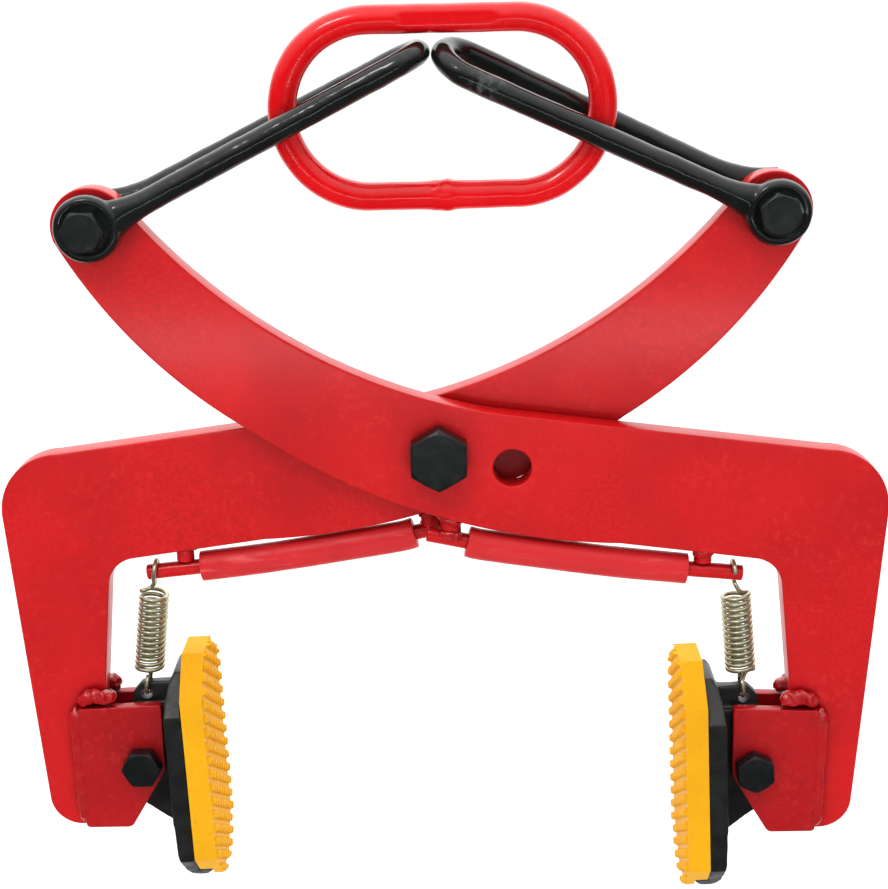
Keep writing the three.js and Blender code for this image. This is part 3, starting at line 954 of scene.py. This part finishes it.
def build_pad(side):
    back = BACK - GAP
    rim = pad_rim()
    n = len(rim)
    flat = np.vstack([rim, inset(rim, RIM_INSET), pad_grid()])
    edges = [(i, (i + 1) % n) for i in range(n)]
    points, _, triangles, *_ = delaunay_2d_cdt([Vector(p) for p in flat], edges, [], 1, 1e-5)
    points = np.array([tuple(p) for p in points])
    face = back - PAD_THICK
    heights = stud_height(points[:, 0], points[:, 1])
    verts = [(face - h, y, z) for (y, z), h in zip(points, heights)]
    base = len(verts)
    verts += [(back, y, z) for y, z in rim]
    faces = [tuple(t) for t in triangles]
    faces += [(i, (i + 1) % n, base + (i + 1) % n, base + i) for i in range(n)]
    faces.append(tuple(base + i for i in range(n)))
    pad = build(f"studded_pad_{side}", verts, faces, PAD_SHARP)
    front = BACK - LIP["reach"] - GAP
    top = HOLDER_BOTTOM + LIP["thick"] + GAP
    clear = 5
    below = HOLDER_BOTTOM - clear
    notch = prism(
        [(front, below), (back + clear, below), (back + clear, top), (front, top)], -60, 60
    )
    combine(pad, notch, "DIFFERENCE", PAD_SHARP)
    put(pad, JAW_AT[side], f"{side}_jaw", YELLOW, "pad_yellow", f"pad_{side}")


def build_holder(side):
    back = BACK
    lip = back - LIP["reach"]
    shelf = HOLDER_BOTTOM + LIP["thick"]
    profile = [(back, HOLDER_TOP)]
    profile += [(back + 6, HOLDER_TOP), (back + 9.6, 61), (back + 11.6, 52), (back + 12.2, 40)]
    profile += [(back + 12.2, -32), (back + 11, -60), (back + 9.4, -80), (back + 7, -85.5)]
    profile += [(back + 3, HOLDER_BOTTOM), (lip + 4, HOLDER_BOTTOM), (lip, HOLDER_BOTTOM + 5)]
    profile += [(lip, shelf), (back, shelf)]
    dish = prism(profile, -PAD_SIDE, PAD_SIDE)
    mould = prism(octagon(HOLDER_TOP + 0.5, HOLDER_BOTTOM - 0.5), lip - 5, back + 25, axis="X")
    combine(dish, mould, "INTERSECT")
    lug = [(back + 10, 40), (4, 40), (15, 9)]
    arc(lug, (16.8, -5), (9, -30), 10)
    lug += [(back + 14, -51), (back + 9, -52)]
    ear = [(back + 10, 35), (back + 10, 55.5), (-1.5, 55.5), (4.6, 49), (7, 35)]
    lugs = [prism(lug, -LUG / 2, LUG / 2), prism(ear, -EAR / 2, EAR / 2)]
    body = merge(f"holder_{side}", dish, *lugs)
    fuse(body, voxel=1.0, rounds=9)
    roughen(body, size=9, amount=0.3, seed=SIDE[side])
    combine(body, drill(BOLT_HOLE, reach=12), "DIFFERENCE", FUSED)
    combine(body, drill(EAR_BORE, reach=9, steps=24, at=EAR_HOLE), "DIFFERENCE", FUSED)
    put(body, JAW_AT[side], f"{side}_jaw", CAST, "cast_black", f"pad_holder_{side}")


# ---------------- shackles
SHACKLE = {"bar": 7.6, "inner": 10.3, "outer": 25.3, "hole": 9.3, "bow": 19.2}
FLARE = {"from": 2, "to": 46, "grow": 18.2, "power": 2.1, "rise": 0.12, "thin": 0.04, "steps": 16}
# The radius and height of the raised shoulder round each bolt, and the rounding of the rim.
EYE = {
    "radius": 21, "flat": 14.5, "slope": (15.9, 0.8), "crown": (17.2, 1.2),
    "drop": 4.2, "soft": 4.6,
}
# How far the near and the far leg stand off the shackle's middle, at the eye and at the bow.
LIFT = {
    "left": ((-2.6, -0.3), (1.5, 1.5)),
    "right": ((5, 4.3), (-1, -7)),
}


def shackle_eye(near, far, out):
    """One forged ring: its near face carries a shoulder, and its far face has a round rim."""
    r, soft = EYE["radius"], EYE["soft"]
    crown, height = EYE["crown"]
    profile = [(0, near), (EYE["flat"], near)]
    profile += [(radius, near + out * rise) for radius, rise in (EYE["slope"], EYE["crown"])]
    for k in range(1, 7):
        t = math.pi / 2 * k / 6
        fall = height * math.cos(t) - EYE["drop"] * (1 - math.cos(t))
        profile.append((crown + (r - crown) * math.sin(t), near + out * fall))
    for k in range(6):
        t = math.pi / 2 * k / 5
        profile.append((r - soft + soft * math.cos(t), far + out * soft * (1 - math.sin(t))))
    profile.append((0, far))
    return build("eye", *lathe(profile, 64))


def leg_point(s, sign, lift):
    """A point of one leg's middle line, `s` from the eye."""
    share = s / (SHACKLE_LENGTH - SHACKLE["bow"])
    middle = (SHACKLE["inner"] + SHACKLE["outer"]) / 2
    across = middle + (SHACKLE["bow"] - middle) * share
    return (s, sign * across, lift[0] + (lift[1] - lift[0]) * share)


def flare(sign, lift):
    """The leg widening into its eye."""
    bar = SHACKLE["bar"]
    start, end = FLARE["from"], FLARE["to"]
    centre = []
    size = []
    for s in np.linspace(start, end, FLARE["steps"]):
        t = 1 - (s - start) / (end - start)
        grown = (FLARE["grow"] - bar) * t ** FLARE["power"]
        x, y, z = leg_point(s, sign, lift)
        centre.append((x, y, z + grown * FLARE["rise"]))
        size.append((bar + grown, bar * (1 - FLARE["thin"] * t)))
    return tube("flare", centre, np.array(size), sides=28)


def build_shackle(side):
    bow = SHACKLE["bow"]
    low, high = LIFT[side]
    start = SHACKLE_LENGTH - bow
    reach = [8, 60, 120, 175, start]
    points = [leg_point(s, -1, low) for s in reach]
    for a in np.radians([30, 60, 90, 120, 150]):
        share = (1 - math.cos(a)) / 2
        z = low[1] + (high[1] - low[1]) * share
        points.append((start + bow * math.sin(a), -bow * math.cos(a), z))
    points += [leg_point(s, 1, high) for s in reversed(reach)]
    parts = [tube("leg", smooth_path(points, 16), SHACKLE["bar"], sides=32)]
    for sign, lift in ((-1, low), (1, high)):
        parts.append(flare(sign, lift))
        parts.append(shackle_eye(sign * SHACKLE["outer"], sign * SHACKLE["inner"], sign))
    body = merge(f"forged_shackle_{side}", *parts)
    fuse(body, voxel=0.95, rounds=4)
    roughen(body, size=14, amount=0.3, seed=SIDE[side])
    roughen(body, size=4, amount=0.08, seed=SIDE[side])
    combine(body, drill(SHACKLE["hole"], reach=40), "DIFFERENCE", FUSED)
    put(body, SHACKLE_AT[side], f"{side}_shackle", FORGED[side], "black_paint", f"shackle_{side}")


# ---------------- master link
# The flat panel on the front of the top bar, left blank, and the weld across the bottom bar.
PANEL = {"x": 3, "half": 29.5, "depth": 1.3, "margin": 2, "run_in": 3, "height": 5.8}
BUTT = {"half": 22, "reach": 20, "swell": 7.5, "lumps": 9, "grain": 4.5, "rise": 0.9}


def oval():
    """The ring's middle line in X and Z: two half circles and two straights."""
    bend = np.linspace(-math.pi / 2, math.pi / 2, 49)
    straight = np.linspace(LINK_STRAIGHT, -LINK_STRAIGHT, 43)[1:-1]
    half = [(LINK_STRAIGHT + LINK_END * math.cos(t), 0, LINK_END * math.sin(t)) for t in bend]
    half += [(x, 0, LINK_END) for x in straight]
    return half + [(-x, 0, -z) for x, _, z in half]


def flatten(co):
    inside = PANEL["half"] + PANEL["margin"] - abs(co.x - PANEL["x"])
    share = min(1, max(0, inside / PANEL["run_in"]))
    if abs(co.z - LINK_END) < PANEL["height"]:
        co.y = max(co.y, PANEL["depth"] * share - LINK_BAR)


def swell(co):
    if co.z < BUTT["reach"] - LINK_END and abs(co.x) < BUTT["half"]:
        ring = math.exp(-((co.x / BUTT["swell"]) ** 2))
        lumps = math.exp(-((co.x / BUTT["lumps"]) ** 4)) * noise.noise(co / BUTT["grain"])
        radial = co - Vector((co.x, 0, -LINK_END))
        co += radial.normalized() * (ring + lumps * BUTT["rise"])


def build_link():
    obj = tube("forged_master_link", oval(), LINK_BAR, sides=40, closed=True, normal=(1, 0, 0))
    for vertex in obj.data.vertices:
        if vertex.co.z > 0:
            flatten(vertex.co)
        else:
            swell(vertex.co)
    obj.data.update()
    roughen(obj, size=16, amount=0.25, seed=4)
    at = shift(0, 0, LINK_BAR - LINK_END) @ turned(math.radians(LINK_YAW), "Z")
    put(obj, at, "link", GLOSS, "red_gloss", "master_link")


# ---------------- fasteners
M24 = {
    "shank": 12, "across": 36, "head": 15, "nut": 19, "hole": 12.5, "washer": (22, 4), "thread": 3,
}
M16 = {
    "shank": 8, "across": 24, "head": 10, "nut": 13, "hole": 8.5, "washer": (15, 3), "thread": 2,
}
CONE = math.tan(math.radians(30))
CONE_SHARE = 0.97
HEX_ROUND = 0.9
HEX_BEVEL = 0.35
HEX_SHARP = 25
CONE_CLEAR = 0.2
THREAD = {"sides": 36, "rings": 8, "depth": 0.4, "tip": 1.6, "sharp": 30}
STICK_OUT = 5.5
THREAD_IN_NUT = 4
OVERLAP = 1
NUT_BORE = 0.4
NUT_MOUTH = 1.6
NUT_CHAMFER = 1.2
SPACER_RADIUS = 30


def hexagon(size, low, high, turn, both=False):
    """A hexagon prism along Y, its corners turned off in a 30 degree cone at one end or both."""
    corner = size["across"] / math.sqrt(3)
    face = size["across"] / 2 * CONE_SHARE
    turns = [turn + math.pi / 3 * k for k in range(6)]
    corners = [(corner * math.sin(t), corner * math.cos(t)) for t in turns]
    body = prism(rounded(corners, HEX_ROUND, 3), low, high)
    drop = (corner - face) * CONE
    wide = corner + CONE_CLEAR
    profile = [(0, low), (face, low), (wide, low + drop)]
    profile += [(wide, high - drop), (face, high), (0, high)] if both else [(wide, high), (0, high)]
    combine(body, build("cone", *lathe(profile, 72)), "INTERSECT", HEX_SHARP)
    return bevelled(body, HEX_BEVEL)


def threaded(shank, pitch, low, high):
    """A threaded end along Y, closed, with a chamfered tip."""
    sides = THREAD["sides"]
    rings = int((high - low) / (pitch / THREAD["rings"]))
    turns = [2 * math.pi * k / sides for k in range(sides)]
    verts = []
    for i in range(rings + 1):
        y = low + (high - low) * i / rings
        tip = max(0.0, y - (high - THREAD["tip"]))
        for k, t in enumerate(turns):
            phase = (y / pitch + k / sides) % 1
            r = shank - max(THREAD["depth"] * pitch * abs(2 * phase - 1), tip)
            verts.append((r * math.cos(t), y, r * math.sin(t)))
    faces = []
    for i in range(rings):
        for k in range(sides):
            a, b = i * sides + k, i * sides + (k + 1) % sides
            faces.append((a, b, b + sides, a + sides))
    faces.append(tuple(range(sides)))
    faces.append(tuple(rings * sides + k for k in reversed(range(sides))))
    return build("thread", verts, faces, THREAD["sharp"])


def disc(name, hole, radius, low, high, bore, rim, top, steps):
    """A flat ring along Y, with chamfers in its bore and on its low and high rims."""
    ring = list(dict.fromkeys([
        (hole, low + bore), (hole + bore, low), (radius - rim, low), (radius, low + rim),
        (radius, high - top), (radius - top, high), (hole + bore, high), (hole, high - bore),
    ]))
    return build(name, *lathe(ring + ring[:1], steps), TURNED)


def fasten(name, size, at, front, rear, turn, body):
    """A bolt with its head before `front`, and its washer and nut behind `rear`."""
    washer = rear + GAP
    washer_end = washer + size["washer"][1]
    nut_from = washer_end + GAP
    nut_to = nut_from + size["nut"]
    shank = size["shank"]
    head = hexagon(size, front - GAP - size["head"], front - GAP, -turn)
    low, high = front - GAP - OVERLAP, nut_to - 2 * OVERLAP
    stem = build("stem", *lathe([(0, low), (shank, low), (shank, high), (0, high)]))
    thread = threaded(shank, size["thread"], nut_to - THREAD_IN_NUT, nut_to + STICK_OUT)
    combine(stem, thread, "UNION", TURNED)
    combine(head, stem, "UNION", TURNED)
    head.name = f"{name}_screw"
    put(head, at, body, STEEL, "black_steel", f"{name}_bolt")

    sizes = (size["hole"], size["washer"][0], washer, washer_end)
    ring = disc(f"{name}_flat_washer", *sizes, bore=0.3, rim=0.5, top=0.7, steps=64)
    put(ring, at, body, STEEL, "black_steel", f"{name}_washer")

    nut = hexagon(size, nut_from, nut_to, turn + 0.3, both=True)
    bore, mouth = shank + NUT_BORE, shank + NUT_MOUTH
    below, above = nut_from - OVERLAP, nut_to + OVERLAP
    profile = [(0, below), (mouth, below), (bore, nut_from + NUT_CHAMFER)]
    profile += [(bore, nut_to - NUT_CHAMFER), (mouth, above), (0, above)]
    combine(nut, build("bore", *lathe(profile)), "DIFFERENCE", TURNED)
    nut.name = f"{name}_hex_nut"
    put(nut, at, body, STEEL, "black_steel", f"{name}_nut")


def build_fasteners():
    middle = ARM_OFFSET + PLATE / 2
    tip = SHACKLE["outer"] + 0.6
    jaw = PLATE / 2 + GAP + CHEEK
    for name, size, joint, reach, turn, body in (
        ("pivot", M24, "front_arm_swing", middle, 0, "pivot"),
        ("tip_left", M16, "left_shackle_swing", tip, 0.52, "front_arm"),
        ("tip_right", M16, "right_shackle_swing", tip, 0.2, "back_arm"),
        ("jaw_right", M16, "right_jaw_tilt", jaw, 0.1, "front_arm"),
        ("jaw_left", M16, "left_jaw_tilt", jaw, 0.52, "back_arm"),
    ):
        fasten(name, size, Matrix.Translation(JOINTS[joint]), -reach, reach, turn, body)
    thick = ARM_OFFSET - PLATE / 2 - GAP
    sizes = (PIVOT_HOLE, SPACER_RADIUS, -thick, thick)
    spacer = disc("spacer_disc", *sizes, bore=0, rim=0.3, top=0.3, steps=72)
    put(spacer, Matrix.Translation(PIVOT), "pivot", STEEL, "black_steel", "pivot_spacer")


for side in SIDE:
    build_arm(side)
    build_spring(side)
    build_pad(side)
    build_holder(side)
    build_shackle(side)
build_link()
build_fasteners()


# ---------------- stage, light and camera
FLOOR = {"drop": 0.25, "half": 12}
CENTRE = (0, 0, -0.3)
LAMPS = {
    "key": {"spot": (-0.7, -1.5, 1.5), "target": CENTRE, "size": (0.6, 0.3), "power": 11},
    "fill": {"spot": (1.3, -1.9, 0.3), "target": CENTRE, "size": (1.4, 1.4), "power": 1.6},
    "strip": {
        "spot": (0, -1.95, -0.62), "target": (0, 0, -0.05), "size": (1.7, 0.05), "power": 2.6,
    },
}
# For the Z and the Y of a direction: where its ramp starts and ends, and the strength there.
# The camera itself sees the plain BACKDROP.
DOME = {"Z": (0.1, 0.85, 0.08, 1.75), "Y": (0.1, 0.7, 0, 1.2)}
BACKDROP = 1.05
# Millimetres from the pivot, and degrees.
CAMERA = {
    "at": (15.5, -1066.6, 309.8), "lens": 68.51, "elevation": 16.1, "yaw": 0.66, "roll": 1.17,
}


def set_stage():
    low = CAD_BOX[0][2] - FLOOR["drop"]
    half = FLOOR["half"]
    corners = [(x * half, y * half, low) for x, y in ((-1, -1), (1, -1), (1, 1), (-1, 1))]
    mesh = bpy.data.meshes.new("floor")
    mesh.from_pydata(corners, [], [(0, 1, 2, 3)])
    floor = add_object("floor", mesh)
    s = Shader("pale floor", (0.80, 0.80, 0.80), 0.9, specular=0.1)
    s.tint(s.patches(3, 3, 0.3, 0.8), (0.82, 0.82, 0.82))
    mesh.materials.append(s.done())
    floor.visible_glossy = False


def softbox(name, spot, target, size, power):
    light = bpy.data.lights.new(name, "AREA")
    light.shape = "RECTANGLE"
    light.size, light.size_y = size
    light.energy = power
    obj = add_object(name, light)
    away = (Vector(target) - Vector(spot)).to_track_quat("-Z", "Y")
    obj.matrix_world = Matrix.Translation(spot) @ away.to_matrix().to_4x4()


def set_light():
    """Soft lamps in front, and a dome that is bright overhead and behind."""
    for name, lamp in LAMPS.items():
        softbox(name, **lamp)
    world = bpy.data.worlds.new("studio")
    bpy.context.scene.world = world
    world.use_nodes = True
    tree = world.node_tree
    background = tree.nodes["Background"]
    background.inputs["Color"].default_value = (1, 1, 1, 1)
    split = tree.nodes.new("ShaderNodeSeparateXYZ")
    dome = tree.nodes.new("ShaderNodeMath")
    for socket, (axis, limits) in zip(dome.inputs, DOME.items()):
        ramp = tree.nodes.new("ShaderNodeMapRange")
        for end, value in zip(("From Min", "From Max", "To Min", "To Max"), limits):
            ramp.inputs[end].default_value = value
        tree.links.new(split.outputs[axis], ramp.inputs["Value"])
        tree.links.new(ramp.outputs["Result"], socket)
    seen = tree.nodes.new("ShaderNodeLightPath")
    level = tree.nodes.new("ShaderNodeMix")
    level.inputs["B"].default_value = BACKDROP
    tree.links.new(tree.nodes.new("ShaderNodeTexCoord").outputs["Generated"], split.inputs[0])
    tree.links.new(seen.outputs["Is Camera Ray"], level.inputs["Factor"])
    tree.links.new(dome.outputs[0], level.inputs["A"])
    tree.links.new(level.outputs["Result"], background.inputs["Strength"])
    bpy.context.scene.view_settings.view_transform = "Standard"


def set_camera():
    lens = bpy.data.cameras.new("camera")
    lens.sensor_width = 36
    lens.lens = CAMERA["lens"]
    camera = add_object("camera", lens)
    elevation, yaw, roll = (math.radians(CAMERA[a]) for a in ("elevation", "yaw", "roll"))
    level = turned(yaw, "Z")
    right = level @ Vector((1, 0, 0))
    up = level @ Vector((0, math.sin(elevation), math.cos(elevation)))
    ahead = up.cross(right)
    side = right * math.cos(roll) - up * math.sin(roll)
    top = up * math.cos(roll) + right * math.sin(roll)
    axes = Matrix((side, top, -ahead)).transposed().to_4x4()
    camera.matrix_world = Matrix.Translation(PIVOT + Vector(CAMERA["at"]) * MM) @ axes
    bpy.context.scene.camera = camera


set_stage()
set_light()
set_camera()
